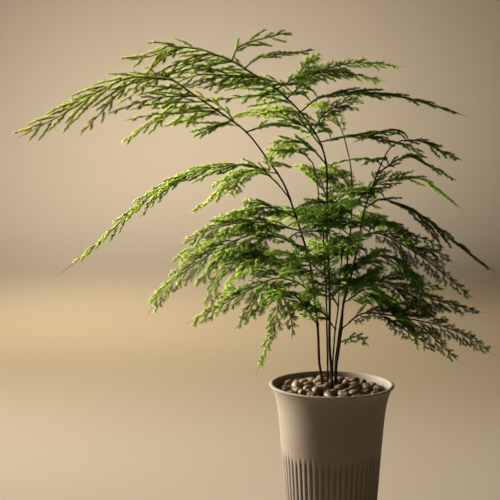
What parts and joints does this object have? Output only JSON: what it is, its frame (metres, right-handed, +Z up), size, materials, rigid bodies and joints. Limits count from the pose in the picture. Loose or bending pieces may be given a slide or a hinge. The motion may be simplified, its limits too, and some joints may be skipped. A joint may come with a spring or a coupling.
{
  "type": "potted lace fern",
  "caption": "Lace fern with arching wiry stems and flat plumes of fine needles, growing through clay pebbles in a flared, fluted stoneware pot.",
  "frame": {"origin": "middle of the pot's flat underside", "axes": "+Z up along the pot's turning axis; +X to the right and +Y away from the viewer, as the picture shows the plant"},
  "size_m": [0.4511, 0.2677, 0.4907],
  "materials": {
    "stoneware": "matte unglazed stoneware, warm grey-beige",
    "soil": "moist dark potting mix",
    "clay_pebble": "matte fired clay, tan to brown",
    "cane_bark": "smooth dark wiry stem",
    "needle_green": "fine soft green needles, yellow-green where lit"
  },
  "bodies": {
    "root": {"back_cane": "cane_bark", "back_spray_01": "needle_green", "back_spray_02": "needle_green", "back_spray_03": "needle_green", "back_spray_04": "needle_green", "back_spray_05": "needle_green", "back_spray_06": "needle_green", "back_spray_07": "needle_green", "crossing_cane": "cane_bark", "crossing_spray_01": "needle_green", "crossing_spray_02": "needle_green", "front_cane": "cane_bark", "front_spray_01": "needle_green", "front_spray_02": "needle_green", "front_spray_03": "needle_green", "front_spray_04": "needle_green", "left_cane": "cane_bark", "left_spray_01": "needle_green", "left_spray_02": "needle_green", "left_spray_03": "needle_green", "left_spray_04": "needle_green", "left_spray_05": "needle_green", "left_spray_06": "needle_green", "left_spray_07": "needle_green", "left_spray_08": "needle_green", "left_spray_09": "needle_green", "left_spray_10": "needle_green", "left_spray_11": "needle_green", "left_spray_12": "needle_green", "left_spray_13": "needle_green", "left_spray_14": "needle_green", "middle_cane": "cane_bark", "middle_spray_01": "needle_green", "middle_spray_02": "needle_green", "middle_spray_03": "needle_green", "middle_spray_04": "needle_green", "middle_spray_05": "needle_green", "middle_spray_06": "needle_green", "middle_spray_07": "needle_green", "middle_spray_08": "needle_green", "middle_spray_09": "needle_green", "middle_spray_10": "needle_green", "middle_spray_11": "needle_green", "middle_spray_12": "needle_green", "middle_spray_13": "needle_green", "middle_spray_14": "needle_green", "middle_spray_15": "needle_green", "pebbles": "clay_pebble", "pot": "stoneware", "right_cane": "cane_bark", "right_spray_01": "needle_green", "right_spray_02": "needle_green", "right_spray_03": "needle_green", "right_spray_04": "needle_green", "right_spray_05": "needle_green", "right_spray_06": "needle_green", "right_spray_07": "needle_green", "right_spray_08": "needle_green", "right_spray_09": "needle_green", "soil": "soil"}
  },
  "joints": []
}
